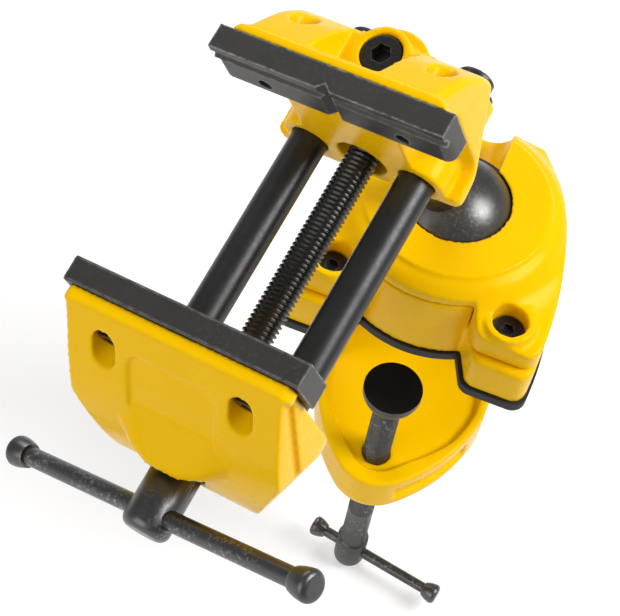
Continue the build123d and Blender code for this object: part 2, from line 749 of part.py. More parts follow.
with BuildPart() as clamp_frame:
    with BuildSketch(Plane.XY.offset(-ARM_BOTTOM)):
        add(arm_outline())
    extrude(amount=ARM_BOTTOM + PARTING)
    with BuildSketch(Plane.YZ):
        add(arm_side(COLUMN_FRONT, ARM_TOP, 2 * PARTING, COLUMN_BEND))
    extrude(amount=2 * ARM_HALF, both=True, mode=Mode.SUBTRACT)
    arm_foot = clamp_frame.faces().sort_by(Axis.Z)[0].edges()
    fillet(arm_foot, radius=ARM_EDGE)
    add(tray.part, mode=Mode.SUBTRACT)
    with BuildSketch(Plane.XY.offset(PARTING)):
        add(base_outline(LOBE_FRONT))
    extrude(amount=RING_TOP - PARTING)
    add(cap_hood.part, mode=Mode.SUBTRACT)
    with BuildSketch(Plane.XY.offset(PARTING)):
        with Locations(*SADDLE_SCREWS):
            Circle(RECESS_RIM)
    extrude(amount=RECESS_TOP - PARTING)
    add(drum_room.part, mode=Mode.SUBTRACT)
    add(ball_hollow.part, mode=Mode.SUBTRACT)
    with BuildSketch(Plane.XZ.offset(-REAR_NOTCH_START)):
        with Locations((0, REAR_NOTCH_CENTRE)):
            Circle(REAR_NOTCH_HALF)
            Rectangle(2 * REAR_NOTCH_HALF, RING_TOP, align=(Align.CENTER, Align.MIN))
    extrude(amount=-2 * BASE_REAR, mode=Mode.SUBTRACT)
    with BuildSketch(Plane.XY.offset(SCREW_SEAT)):
        with Locations(*SADDLE_SCREWS):
            Circle(RECESS_RADIUS)
    extrude(amount=RING_TOP - SCREW_SEAT, mode=Mode.SUBTRACT)
    with BuildSketch(Plane.XY.offset(SCREW_SEAT)):
        with Locations(*SADDLE_SCREWS):
            Circle(SADDLE_SCREW_RADIUS + LOOSE_FIT)
    extrude(amount=-2 * SADDLE_SCREW_FLOOR, mode=Mode.SUBTRACT)
    with BuildSketch(Plane.XY.offset(-2 * ARM_BOTTOM)):
        with Locations((0, -CLAMP_AXIS)):
            Circle(CLAMP_RADIUS + RUNNING_FIT)
    extrude(amount=2 * ARM_BOTTOM, mode=Mode.SUBTRACT)
keep("clamp_frame", clamp_frame.part)

with BuildPart() as saddle_screws:
    with BuildSketch(Plane.XY.offset(SCREW_SEAT)):
        with Locations(*SADDLE_SCREWS):
            Circle(SADDLE_SCREW_HEAD)
    extrude(amount=SADDLE_SCREW_HEAD_HEIGHT)
    with BuildSketch(Plane.XY.offset(SCREW_SEAT)):
        with Locations(*SADDLE_SCREWS):
            Circle(SADDLE_SCREW_RADIUS)
    extrude(amount=-SADDLE_SCREW_LENGTH)
    with BuildSketch(Plane.XY.offset(SCREW_SEAT + SADDLE_SCREW_HEAD_HEIGHT)):
        with Locations(*SADDLE_SCREWS):
            RegularPolygon(SADDLE_SCREW_KEY / 2, 6, major_radius=False)
    extrude(amount=-SADDLE_SCREW_HEAD_HEIGHT / 2, mode=Mode.SUBTRACT)
keep("saddle_screws", saddle_screws.part)


# Moving jaw casting

MOVING_SEAT = MOVING_BACK - PLATE_SEAT
HUB_SEAT = MOVING_BACK - HUB_START
MOVING_DEEPEST = MOVING_BACK - MOVING_DEPTH


def moving_front(inset):
    """Section of the moving jaw behind its plate, its bowed face set back by an inset."""
    with BuildSketch() as section:
        with BuildLine():
            Polyline(
                (MOVING_BACK - MOVING_LIP_THICK + inset, -MOVING_LIP_DROP),
                (MOVING_BACK, -MOVING_LIP_DROP),
                (MOVING_BACK, -MOVING_BOTTOM),
                (MOVING_DEEPEST + MOVING_FOOT, -MOVING_BOTTOM),
            )
            ThreePointArc(
                (MOVING_DEEPEST + MOVING_FOOT, -MOVING_BOTTOM),
                (
                    MOVING_DEEPEST + MOVING_FOOT * (1 - sin(pi / 4)),
                    -MOVING_BOTTOM + MOVING_FOOT * (1 - cos(pi / 4)),
                ),
                (MOVING_DEEPEST + inset, -MOVING_BOTTOM + MOVING_FOOT),
            )
            Spline(
                (MOVING_DEEPEST + inset, -MOVING_BOTTOM + MOVING_FOOT),
                *[(MOVING_BACK - forward + inset, z) for forward, z in MOVING_BULGE],
                (MOVING_BACK - MOVING_LIP_THICK + inset, -MOVING_LIP_DROP),
            )
        make_face()
    return section.sketch


with BuildPart() as panel:
    with BuildSketch(lengthwise(0)):
        add(moving_front(-PANEL_SINK))
        add(moving_front(PANEL_SINK), mode=Mode.SUBTRACT)
    extrude(amount=MOVING_HALF, both=True)
    with BuildSketch(upright(MOVING_BACK)):
        with Locations((0, -(PANEL_TOP + PANEL_BOTTOM) / 2)):
            RectangleRounded(2 * PANEL_HALF, PANEL_BOTTOM - PANEL_TOP, PANEL_CORNER)
    extrude(amount=2 * MOVING_DEPTH, mode=Mode.INTERSECT)

with BuildPart() as moving_jaw:
    with BuildSketch(lengthwise(0)):
        add(moving_front(0))
    extrude(amount=MOVING_HALF, both=True)
    with BuildSketch(upright(MOVING_BACK)):
        with BuildLine():
            Polyline((0, 0), (MOVING_HALF, 0), (MOVING_HALF, -MOVING_SIDE_END))
            ThreePointArc((MOVING_HALF, -MOVING_SIDE_END), MOVING_CORNER, (MOVING_FLAT, -MOVING_BOTTOM))
            Line((MOVING_FLAT, -MOVING_BOTTOM), (0, -MOVING_BOTTOM))
            mirror(about=Plane.YZ)
        make_face()
    extrude(amount=2 * MOVING_DEPTH, mode=Mode.INTERSECT)
    add(panel.part, mode=Mode.SUBTRACT)
    for way in (-1, 1):
        corner = Plane(
            (way * CORNER_CUT[0], *CORNER_CUT[1:]),
            z_dir=(way * CORNER_FACING[0], *CORNER_FACING[1:]),
        )
        with BuildSketch(on_head(corner)):
            Rectangle(4 * MOVING_HALF, 4 * MOVING_HALF)
        extrude(amount=MOVING_HALF, mode=Mode.SUBTRACT)
        with BuildSketch(lengthwise(way * MOVING_HALF)):
            with Locations((MOVING_BACK - FLANK_GROOVE_FORWARD, -FLANK_GROOVE_DROP)):
                SlotOverall(FLANK_GROOVE_LENGTH, FLANK_GROOVE_WIDTH, rotation=FLANK_GROOVE_TILT)
        extrude(amount=FLANK_GROOVE_DEPTH, both=True, mode=Mode.SUBTRACT)
    with BuildSketch(upright(MOVING_BACK)):
        with Locations((0, -MOVING_LIP_DROP - MOVING_LIP_HEIGHT / 2)):
            RectangleRounded(2 * MOVING_LIP_HALF, MOVING_LIP_HEIGHT, FLANGE_ROUND)
    extrude(amount=MOVING_LIP_THICK)
    with BuildSketch(upright(MOVING_SEAT)):
        with Locations(*PLATE_SCREWS):
            SlotOverall(ACCESS_SLOT_HEIGHT, ACCESS_SLOT_WIDTH, rotation=90)
    extrude(amount=MOVING_DEPTH, mode=Mode.SUBTRACT)
    with BuildSketch(upright(MOVING_BACK)):
        with Locations(*PLATE_SCREWS):
            Circle(PLATE_SCREW_RADIUS + LOOSE_FIT)
    extrude(amount=MOVING_DEPTH, mode=Mode.SUBTRACT)
    with BuildSketch(upright(MOVING_BACK)):
        with Locations(*ROD_CENTRES):
            Circle(ROD_RADIUS + SEAT_FIT)
    extrude(amount=ROD_DEPTH, mode=Mode.SUBTRACT)
    with BuildSketch(upright(MOVING_BACK)):
        with Locations((0, -SPINDLE_DROP)):
            Circle(SPINDLE_RADIUS + RUNNING_FIT)
    extrude(amount=2 * MOVING_DEPTH, mode=Mode.SUBTRACT)
    with BuildSketch(upright(MOVING_BACK)):
        with Locations((0, -SPINDLE_DROP)):
            Circle(SPINDLE_RADIUS + CLIP_RIM + LOOSE_FIT)
    extrude(amount=CLIP_RECESS, mode=Mode.SUBTRACT)
    with BuildSketch(upright(HUB_SEAT + END_GAP)):
        with Locations((0, -SPINDLE_DROP)):
            Circle(HUB_RADIUS + HUB_ROOM)
    extrude(amount=MOVING_DEPTH, mode=Mode.SUBTRACT)
keep("moving_jaw", moving_jaw.part)


# Guide rods, fixed in the moving jaw, with the rings that stop them behind the fixed jaw

ROD_START = MOVING_BACK - ROD_DEPTH
ROD_END = FIXED_REAR + ROD_TAIL
RING_FRONT = FIXED_REAR + END_GAP
RING_FLOOR = ROD_RADIUS - RING_BITE


def guide_rod(x):
    """One plain round rod with a ring groove near its tail."""
    with BuildPart() as rod:
        with BuildSketch(upright(ROD_START)):
            with Locations((x, -ROD_DROP)):
                Circle(ROD_RADIUS)
        extrude(amount=-(ROD_END - ROD_START))
        chamfer(rod.edges().filter_by(GeomType.CIRCLE), length=ROD_EDGE)
        with BuildSketch(upright(RING_FRONT)):
            with Locations((x, -ROD_DROP)):
                Circle(2 * ROD_RADIUS)
                Circle(RING_FLOOR, mode=Mode.SUBTRACT)
        extrude(amount=-RING_THICK, mode=Mode.SUBTRACT)
    return rod.part


for side, x in RODS.items():
    keep(f"guide_rod_{side}", guide_rod(x))

with BuildPart() as rod_stop_rings:
    with BuildSketch(upright(RING_FRONT)):
        with Locations(*ROD_CENTRES):
            Circle(ROD_RADIUS + RING_RIM)
            Circle(RING_FLOOR + SEAT_FIT, mode=Mode.SUBTRACT)
    extrude(amount=-RING_THICK)
keep("rod_stop_rings", rod_stop_rings.part)


# Spindle: hub, journal and threaded length in one piece

SPINDLE_END = FIXED_REAR + SPINDLE_TAIL
BAR_Y = HUB_SEAT - BAR_PLACE
CLIP_FLOOR = SPINDLE_RADIUS - CLIP_BITE
CLIP_FRONT = MOVING_BACK - CLIP_RECESS + END_GAP

BAR_FRAME = HEAD * Location((0, BAR_Y, -SPINDLE_DROP)) * Rotation(0, -BAR_TILT, 0)
BAR_CROSS = Plane(BAR_FRAME * Plane.YZ.location)
BAR_SECTION = Plane(BAR_FRAME)
BAR_AXIS = Axis(BAR_SECTION.origin, BAR_SECTION.x_dir)

with BuildPart() as spindle:
    with BuildSketch(upright(HUB_SEAT)):
        with Locations((0, -SPINDLE_DROP)):
            Circle(HUB_RADIUS)
    extrude(amount=HUB_LENGTH)
    fillet(spindle.faces().sort_by(HEAD_Y)[-1].edges(), radius=HUB_ROUND)
    with BuildSketch(upright(HUB_SEAT)):
        with Locations((0, -SPINDLE_DROP)):
            Circle(SPINDLE_RADIUS)
    extrude(amount=-(SPINDLE_END - HUB_SEAT))
    chamfer(spindle.faces().sort_by(HEAD_Y)[0].edges(), length=ROD_EDGE)
    with BuildSketch(upright(CLIP_FRONT)):
        with Locations((0, -SPINDLE_DROP)):
            Circle(2 * SPINDLE_RADIUS)
            Circle(CLIP_FLOOR, mode=Mode.SUBTRACT)
    extrude(amount=-CLIP_THICK, mode=Mode.SUBTRACT)
    with BuildSketch(BAR_CROSS):
        Circle(BAR_RADIUS + BAR_ROOM)
    extrude(amount=2 * HUB_RADIUS, both=True, mode=Mode.SUBTRACT)
keep("spindle", spindle.part)

with BuildPart() as spindle_clip:
    with BuildSketch(upright(CLIP_FRONT)):
        with Locations((0, -SPINDLE_DROP)):
            Circle(SPINDLE_RADIUS + CLIP_RIM)
            Circle(CLIP_FLOOR + SEAT_FIT, mode=Mode.SUBTRACT)
    extrude(amount=-CLIP_THICK)
keep("spindle_clip", spindle_clip.part)


# T-bars: a plain bar with a forged knob driven on each end


def sliding_bar(cross, radius, length):
    """A round bar centred on a plane across it."""
    with BuildPart() as bar:
        with BuildSketch(cross):
            Circle(radius)
        extrude(amount=length / 2, both=True)
    return bar.part


def end_knob(section, axis, start, end, size):
    """A barrel-shaped knob about the bar: a narrow neck, a full waist and a domed end."""
    way = 1 if end > start else -1
    dome = size["dome"]
    round_start = end - way * dome
    with BuildPart() as knob:
        with BuildSketch(section):
            with BuildLine():
                Polyline((start, size["bore"]), (start, size["neck"]))
                ThreePointArc(
                    (start, size["neck"]),
                    ((start + round_start) / 2, size["neck"] * 0.3 + size["radius"] * 0.7),
                    (round_start, size["radius"]),
                )
                ThreePointArc(
                    (round_start, size["radius"]),
                    (end - way * dome * (1 - sin(pi / 4)), size["radius"] - dome * (1 - cos(pi / 4))),
                    (end, size["radius"] - dome),
                )
                Line((end, size["radius"] - dome), (end, 0))
                Polyline(
                    (end, 0),
                    (start + way * size["socket"], 0),
                    (start + way * size["socket"], size["bore"]),
                    (start, size["bore"]),
                )
            make_face()
        revolve(axis=axis)
    return knob.part


SPINDLE_KNOB = {
    "radius": KNOB_RADIUS,
    "neck": KNOB_NECK,
    "dome": KNOB_DOME,
    "socket": KNOB_SOCKET,
    "bore": BAR_RADIUS + SEAT_FIT,
}
knob_start = BAR_LENGTH / 2 - KNOB_LENGTH / 2
knob_end = BAR_LENGTH / 2 + KNOB_LENGTH / 2
keep("spindle_bar", sliding_bar(BAR_CROSS, BAR_RADIUS, 2 * (knob_start + KNOB_SOCKET - END_GAP)))
for side, way in {"left": -1, "right": 1}.items():
    knob = end_knob(BAR_SECTION, BAR_AXIS, way * knob_start, way * knob_end, SPINDLE_KNOB)
    keep(f"spindle_bar_knob_{side}", knob)


# Clamp screw, swivel pad and small T-bar

TIP_TOP = -PAD_TOP - PAD_FLOOR
TIP_NECK_TOP = TIP_TOP - END_GAP - TIP_HEAD_HEIGHT
PAD_CLIP_TOP = TIP_NECK_TOP - END_GAP
PAD_SOCKET_RADIUS = TIP_HEAD_RADIUS + RUNNING_FIT
CLAMP_SECTION = Plane.XZ.offset(CLAMP_AXIS)
CLAMP_LINE = Axis((0, -CLAMP_AXIS, 0), (0, 0, 1))
CLAMP_BAR_FRAME = Location((0, -CLAMP_AXIS, -CLAMP_BAR_DROP)) * Rotation(0, 0, CLAMP_BAR_TURN)
CLAMP_BAR_CROSS = Plane(CLAMP_BAR_FRAME * Plane.YZ.location)
CLAMP_BAR_SECTION = Plane(CLAMP_BAR_FRAME)
CLAMP_BAR_AXIS = Axis(CLAMP_BAR_SECTION.origin, CLAMP_BAR_SECTION.x_dir)

with BuildPart() as clamp_pad:
    with BuildSketch(CLAMP_SECTION):
        with BuildLine():
            Polyline(
                (0, -PAD_TOP),
                (PAD_RADIUS, -PAD_TOP),
                (PAD_RADIUS, -PAD_TOP - PAD_RIM),
            )
            ThreePointArc(
                (PAD_RADIUS, -PAD_TOP - PAD_RIM),
                (PAD_RADIUS - PAD_SIDE, -PAD_TOP - PAD_DEPTH * 0.6),
                (PAD_NECK, -PAD_TOP - PAD_DEPTH),
            )
            Polyline(
                (PAD_NECK, -PAD_TOP - PAD_DEPTH),
                (PAD_SOCKET_RADIUS, -PAD_TOP - PAD_DEPTH),
                (PAD_SOCKET_RADIUS, TIP_TOP),
                (0, TIP_TOP),
                (0, -PAD_TOP),
            )
        make_face()
    revolve(axis=CLAMP_LINE)
keep("clamp_pad", clamp_pad.part)

with BuildPart() as clamp_pad_clip:
    with BuildSketch(Plane.XY.offset(PAD_CLIP_TOP)):
        with Locations((0, -CLAMP_AXIS)):
            Circle(PAD_SOCKET_RADIUS - SEAT_FIT)
            Circle(TIP_NECK_RADIUS + RUNNING_FIT, mode=Mode.SUBTRACT)
    extrude(amount=-PAD_CLIP_THICK)
keep("clamp_pad_clip", clamp_pad_clip.part)

with BuildPart() as clamp_screw:
    with BuildSketch(CLAMP_SECTION):
        with BuildLine():
            Polyline(
                (0, TIP_TOP - END_GAP),
                (TIP_HEAD_RADIUS, TIP_TOP - END_GAP),
                (TIP_HEAD_RADIUS, TIP_NECK_TOP),
                (TIP_NECK_RADIUS, TIP_NECK_TOP),
                (TIP_NECK_RADIUS, -PAD_TOP - PAD_DEPTH - END_GAP),
                (CLAMP_RADIUS, -PAD_TOP - PAD_DEPTH - TIP_TAPER),
                (CLAMP_RADIUS, -CLAMP_HUB_TOP),
                (CLAMP_HUB_RADIUS, -CLAMP_HUB_TOP - 1.0),
                (CLAMP_HUB_RADIUS, -CLAMP_HUB_BOTTOM + CLAMP_HUB_ROUND),
            )
            ThreePointArc(
                (CLAMP_HUB_RADIUS, -CLAMP_HUB_BOTTOM + CLAMP_HUB_ROUND),
                (
                    CLAMP_HUB_RADIUS - CLAMP_HUB_ROUND * (1 - cos(pi / 4)),
                    -CLAMP_HUB_BOTTOM + CLAMP_HUB_ROUND * (1 - sin(pi / 4)),
                ),
                (CLAMP_HUB_RADIUS - CLAMP_HUB_ROUND, -CLAMP_HUB_BOTTOM),
            )
            Polyline(
                (CLAMP_HUB_RADIUS - CLAMP_HUB_ROUND, -CLAMP_HUB_BOTTOM),
                (0, -CLAMP_HUB_BOTTOM),
                (0, TIP_TOP - END_GAP),
            )
        make_face()
    revolve(axis=CLAMP_LINE)
    with BuildSketch(CLAMP_BAR_CROSS):
        Circle(CLAMP_BAR_RADIUS + BAR_ROOM)
    extrude(amount=2 * CLAMP_HUB_RADIUS, both=True, mode=Mode.SUBTRACT)
keep("clamp_screw", clamp_screw.part)

CLAMP_KNOB = {
    "radius": CLAMP_KNOB_RADIUS,
    "neck": CLAMP_KNOB_NECK,
    "dome": CLAMP_KNOB_DOME,
    "socket": CLAMP_KNOB_SOCKET,
    "bore": CLAMP_BAR_RADIUS + SEAT_FIT,
}
small_start = CLAMP_BAR_LENGTH / 2 - CLAMP_KNOB_LENGTH / 2
small_end = CLAMP_BAR_LENGTH / 2 + CLAMP_KNOB_LENGTH / 2
bar_cross = CLAMP_BAR_CROSS.offset(CLAMP_BAR_SLID)
bar_half = small_start + CLAMP_KNOB_SOCKET - END_GAP
keep("clamp_bar", sliding_bar(bar_cross, CLAMP_BAR_RADIUS, 2 * bar_half))
for side, way in {"left": -1, "right": 1}.items():
    knob = end_knob(
        CLAMP_BAR_SECTION,
        CLAMP_BAR_AXIS,
        CLAMP_BAR_SLID + way * small_start,
        CLAMP_BAR_SLID + way * small_end,
        CLAMP_KNOB,
    )
    keep(f"clamp_bar_knob_{side}", knob)
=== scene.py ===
import json
import math

import bmesh
import bpy
from mathutils import Matrix, Vector
from mathutils.bvhtree import BVHTree


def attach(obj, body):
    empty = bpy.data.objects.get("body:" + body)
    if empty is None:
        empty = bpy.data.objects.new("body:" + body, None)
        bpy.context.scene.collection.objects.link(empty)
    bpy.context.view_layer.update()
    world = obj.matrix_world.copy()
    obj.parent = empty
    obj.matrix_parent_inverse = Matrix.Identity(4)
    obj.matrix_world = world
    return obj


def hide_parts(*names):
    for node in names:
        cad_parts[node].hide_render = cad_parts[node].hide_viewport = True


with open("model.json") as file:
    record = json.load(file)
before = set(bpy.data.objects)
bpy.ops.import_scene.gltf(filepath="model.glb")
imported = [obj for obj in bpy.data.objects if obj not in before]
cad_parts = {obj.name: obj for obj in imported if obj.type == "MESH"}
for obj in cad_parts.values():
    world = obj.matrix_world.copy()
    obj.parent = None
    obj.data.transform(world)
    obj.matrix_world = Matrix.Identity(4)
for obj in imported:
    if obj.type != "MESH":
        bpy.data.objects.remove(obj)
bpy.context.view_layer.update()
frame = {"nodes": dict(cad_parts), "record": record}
nodes = frame["nodes"]
behaviour = frame["record"]["behaviour"]
slot_of = {part["node"]: part["material_slot"] for part in frame["record"]["subparts"]}
body_of = {node: body for body, group in behaviour["bodies"].items() for node in group}

MM = 0.001
SAME_PLACE = 1e-7  # metres; corners that lie closer are one corner

# How the pieces are softened, in mm and degrees; edges below the angles are left as they are
EDGE_ROUND = 0.25
EDGE_ANGLE = 40
THREAD_ANGLE = 35
CAST_BLEND = 0.5  # share of the way to its neighbours that a corner goes in a round of smoothing
CAST_FACES = 0.5  # share of a casting's faces that stays

# Where the head stands on its ball, in mm and degrees
BALL_HEIGHT = 28
LEAN_WAY = -136.7
LEAN = 22
HEAD_TURN = 126.3
NECK_BACK = 24.1
NECK_REACH = 125

# The two screws, in mm; a thread starts and ends at heights along its screw's own axis
SCREW_RADIUS = 4.95
PITCH = 1.5
SPINDLE_DROP = 43.2
SPINDLE_DEPTH = 0.9
SPINDLE_START = -77.5
SPINDLE_END = 37.4
CLAMP_AXIS = -36.2
CLAMP_DEPTH = 0.75
CLAMP_START = 40.5
CLAMP_END = 118

# A thread's profile over one pitch: share of the pitch, share of the depth
THREAD_PROFILE = [(0.0, 1), (0.12, 1), (0.44, 0), (0.56, 0), (0.88, 1)]
CORE_SHARE = 0.9  # share of the depth at which the core lies, so that it closes the thread's root
THREAD_STEPS = 36
CORE_STEPS = 48

# The clamp arm's rim and pocket along its outer wall; a section is (depth into the wall, z) in mm
ARM_CENTRE = (0, -10)
RIM_LEVEL = -76
RIM_ANGLES = (-165, -15)
RIM_SECTION = [(1, -76), (8, -76), (6, -71.2), (1, -71.2)]
RIM_FADE = 0.3
POCKET_LEVEL = -81
POCKET_ANGLES = (-72, -15)
POCKET_SECTION = [(-3, -77), (1.8, -77), (1.8, -84.5), (-3, -84.5)]
FLANK_STEPS = 40
FADE_START = 0.2  # share of a strip's length; its depth would be nothing this far beyond its ends
FAR_OUT = 0.1  # metres; the wall is looked for from here

# The brow of the moving jaw over the spindle's hub: half width, y and z in the head's frame, in mm
BROW = [
    (5, -106.2, -35), (5, -105.2, -32.8), (12, -103.6, -35), (12, -102.4, -31.5), (21, -97.4, -35),
    (21, -95.6, -29), (13, -93.6, -24.5), (13, -92.6, -24.5), (21, -93, -29), (21, -93, -35),
]

# The floor's half size in metres and its height in mm, and the point in metres that the lamps face
FLOOR_HALF = 6
FLOOR_HEIGHT = -163.5
FLOOR_COLOUR = (0.62, 0.62, 0.62, 1)
FLOOR_GLOW = 0.42
WORLD_LIGHT = 0.3
AIM = (0, -0.03, 0.04)


def turn(angle, axis):
    """A turn about an axis, in degrees."""
    return Matrix.Rotation(math.radians(angle), 4, axis)


def shift(x, y, z):
    """A shift in mm."""
    return Matrix.Translation((x * MM, y * MM, z * MM))


# The head's own frame: x along the jaws, y back along the rods, z up out of the jaw tops
HEAD = (
    shift(0, 0, BALL_HEIGHT)
    @ turn(LEAN_WAY, "Z") @ turn(LEAN, "Y") @ turn(HEAD_TURN, "Z")
    @ shift(0, -NECK_BACK, NECK_REACH)
)
SPINDLE = HEAD @ shift(0, 0, -SPINDLE_DROP) @ turn(-90, "X")
CLAMP_SCREW = shift(0, CLAMP_AXIS, 0) @ turn(180, "X")


# Camera: fitted to the photograph
camera = bpy.data.objects.new("camera", bpy.data.cameras.new("camera"))
camera.matrix_world = Matrix((
    (0.930432, -0.348644, 0.112888, 0.036661),
    (0.353335, 0.771758, -0.528718, -0.366247),
    (0.097212, 0.531824, 0.841257, 0.527698),
    (0, 0, 0, 1),
))
camera.data.lens = 109.25
camera.data.sensor_width = 36
camera.data.clip_start = 0.01
camera.data.clip_end = 20
bpy.context.scene.collection.objects.link(camera)
bpy.context.scene.camera = camera


# Materials

class Look:
    """A material's node tree with short ways to add nodes."""

    def __init__(self, name):
        self.material = bpy.data.materials.new(name)
        self.material.use_nodes = True
        self.tree = self.material.node_tree
        self.tree.nodes.clear()
        self.out = self.add("ShaderNodeOutputMaterial")
        self.shader = self.add("ShaderNodeBsdfPrincipled")
        self.join(self.shader.outputs["BSDF"], self.out.inputs["Surface"])
        self.place = self.add("ShaderNodeTexCoord").outputs["Object"]

    def add(self, kind, **values):
        node = self.tree.nodes.new(kind)
        for key, value in values.items():
            setattr(node, key, value)
        return node

    def join(self, source, target):
        self.tree.links.new(source, target)

    def drive(self, source, name):
        """Joins a source to one of the shader's inputs."""
        self.join(source, self.shader.inputs[name])

    def set(self, **values):
        for key, value in values.items():
            self.shader.inputs[key.replace("_", " ")].default_value = value

    def noise(self, scale, detail=3.0, rough=0.5):
        node = self.add("ShaderNodeTexNoise")
        node.inputs["Scale"].default_value = scale
        node.inputs["Detail"].default_value = detail
        node.inputs["Roughness"].default_value = rough
        self.join(self.place, node.inputs["Vector"])
        return node.outputs["Fac"]

    def ramp(self, source, low, high, to_low=0.0, to_high=1.0):
        node = self.add("ShaderNodeMapRange")
        node.inputs["From Min"].default_value = low
        node.inputs["From Max"].default_value = high
        node.inputs["To Min"].default_value = to_low
        node.inputs["To Max"].default_value = to_high
        self.join(source, node.inputs["Value"])
        return node.outputs["Result"]

    def math(self, operation, a, b):
        node = self.add("ShaderNodeMath", operation=operation, use_clamp=True)
        for socket, value in zip(node.inputs, (a, b)):
            if isinstance(value, (int, float)):
                socket.default_value = value
            else:
                self.join(value, socket)
        return node.outputs["Value"]

    def times(self, a, b):
        return self.math("MULTIPLY", a, b)

    def mix(self, factor, a, b):
        node = self.add("ShaderNodeMix", data_type="RGBA")
        self.join(factor, node.inputs["Factor"])
        for socket, value in ((node.inputs[6], a), (node.inputs[7], b)):
            if isinstance(value, tuple):
                socket.default_value = (*value, 1)
            else:
                self.join(value, socket)
        return node.outputs[2]

    def bump(self, height, distance, strength=1.0, under=None):
        node = self.add("ShaderNodeBump")
        node.inputs["Distance"].default_value = distance
        node.inputs["Strength"].default_value = strength
        self.join(height, node.inputs["Height"])
        if under:
            self.join(under, node.inputs["Normal"])
        return node.outputs["Normal"]

    def edges(self, radius, low=0.015, high=0.16):
        """How near an edge a point is, from how far the rounded normal leans off."""
        bevel = self.add("ShaderNodeBevel", samples=6)
        bevel.inputs["Radius"].default_value = radius
        plain = self.add("ShaderNodeNewGeometry")
        dot = self.add("ShaderNodeVectorMath", operation="DOT_PRODUCT")
        self.join(bevel.outputs["Normal"], dot.inputs[0])
        self.join(plain.outputs["Normal"], dot.inputs[1])
        return self.ramp(dot.outputs["Value"], 1 - low, 1 - high)


PAINT_DEEP = (0.93, 0.53, 0.0)
PAINT_LIGHT = (1.0, 0.59, 0.0)
PAINT_THIN = (1.0, 0.68, 0.02)
PAINT_SHEEN = (1, 0.75, 0.2, 1)
PAINT_WEAR = 0.4
WORN_STEEL = (0.42, 0.41, 0.39)
RUST = (0.14, 0.07, 0.035)
DARKER = 0.6  # the darker of a steel's two tones, as a share of the lighter
RUBBER_DEEP = (0.008, 0.008, 0.008)
RUBBER_LIGHT = (0.02, 0.02, 0.02)


def paint():
    """The castings' coat: two near tones, paler where it is thin on edges, faintly uneven."""
    look = Look("powder_coat")
    base = look.mix(look.noise(scale=60, detail=2), PAINT_DEEP, PAINT_LIGHT)
    broken = look.ramp(look.noise(scale=350, detail=4, rough=0.7), low=0.35, high=0.65)
    thin = look.times(look.edges(radius=0.0009), broken)
    look.drive(look.mix(look.times(thin, PAINT_WEAR), base, PAINT_THIN), "Base Color")
    gloss = look.ramp(look.noise(scale=220), low=0.3, high=0.7, to_low=0.2, to_high=0.33)
    look.drive(gloss, "Roughness")
    look.set(IOR=1.5, Specular_IOR_Level=0.16, Specular_Tint=PAINT_SHEEN)
    look.set(Coat_Weight=0.04, Coat_Roughness=0.14)
    wavy = look.bump(look.noise(scale=120, detail=2), distance=0.0003, strength=0.25)
    peel = look.bump(look.noise(scale=1400, detail=2), distance=0.00006, strength=0.25, under=wavy)
    look.drive(peel, "Normal")
    return look.material


def steel(
    name, colour, rough, worn=(0.32, 0.31, 0.3), edge=0.0005, wear=0.8, speckle=0.0, metal=0.45,
):
    """A clouded metal or plastic, with rubbed edges and with specks and rust in patches.

    Edge is how far in metres the rubbing goes from an edge. Wear and speckle say how much of
    the worn colour shows there and in the specks."""
    look = Look(name)
    deep = tuple(DARKER * value for value in colour)
    base = look.mix(look.noise(scale=90, detail=4, rough=0.6), deep, colour)
    fine = look.noise(scale=900, detail=4, rough=0.65)
    if speckle:
        broad = look.noise(scale=45, detail=4, rough=0.65)
        rust = look.ramp(broad, low=0.58, high=0.72, to_high=0.5 * speckle)
        base = look.mix(rust, base, RUST)
        patches = look.ramp(look.noise(scale=75), low=0.46, high=0.6)
        specks = look.times(look.ramp(fine, low=0.53, high=0.68), patches)
        base = look.mix(look.times(specks, speckle), base, worn)
    if wear:
        broken = look.ramp(look.noise(scale=500, detail=4, rough=0.7), low=0.35, high=0.6)
        rubbed = look.times(look.times(look.edges(radius=edge), broken), wear)
        base = look.mix(rubbed, base, worn)
    look.drive(base, "Base Color")
    gloss = look.ramp(fine, low=0.3, high=0.7, to_low=rough - 0.06, to_high=rough + 0.08)
    look.drive(gloss, "Roughness")
    look.set(Metallic=metal)
    look.drive(look.bump(fine, distance=0.00003, strength=0.6), "Normal")
    return look.material


def rubber():
    """The sole: near black, dull and finely grained."""
    look = Look("sole_rubber")
    look.drive(look.mix(look.noise(scale=300), RUBBER_DEEP, RUBBER_LIGHT), "Base Color")
    look.set(Roughness=0.7)
    look.drive(look.bump(look.noise(scale=2500, detail=2), distance=0.00006), "Normal")
    return look.material


PAINT = paint()
PLATE = steel(
    "plate_steel", (0.042, 0.04, 0.038), rough=0.42, worn=WORN_STEEL, edge=0.0011, speckle=0.05,
    metal=0.2,
)
ROD = steel("rod_steel", (0.065, 0.065, 0.065), rough=0.37, edge=0.0006, wear=0.5, metal=0.8)
THREAD = steel(
    "screw_steel", (0.045, 0.044, 0.042), rough=0.28, edge=0.0003, wear=0.5, speckle=0.1,
    metal=0.8,
)
FORGED = steel(
    "forged_steel", (0.13, 0.13, 0.135), rough=0.34, worn=WORN_STEEL, edge=0.001, speckle=0.8,
    metal=0.9,
)
BALL = steel(
    "ball_steel", (0.14, 0.14, 0.136), rough=0.33, worn=(0.4, 0.4, 0.38), wear=0, speckle=0.35,
    metal=0.85,
)
SCREW = steel("small_screw_steel", (0.03, 0.029, 0.028), rough=0.3, wear=0.6, metal=0.6)
CLAMP = steel(
    "clamp_screw_steel", (0.1, 0.1, 0.098), rough=0.36, worn=(0.5, 0.48, 0.45), edge=0.0006,
    wear=0.6, speckle=0.6, metal=0.85,
)
BRASS = steel("nut_brass", (0.5, 0.33, 0.12), rough=0.35, worn=(0.8, 0.6, 0.3), metal=1.0)
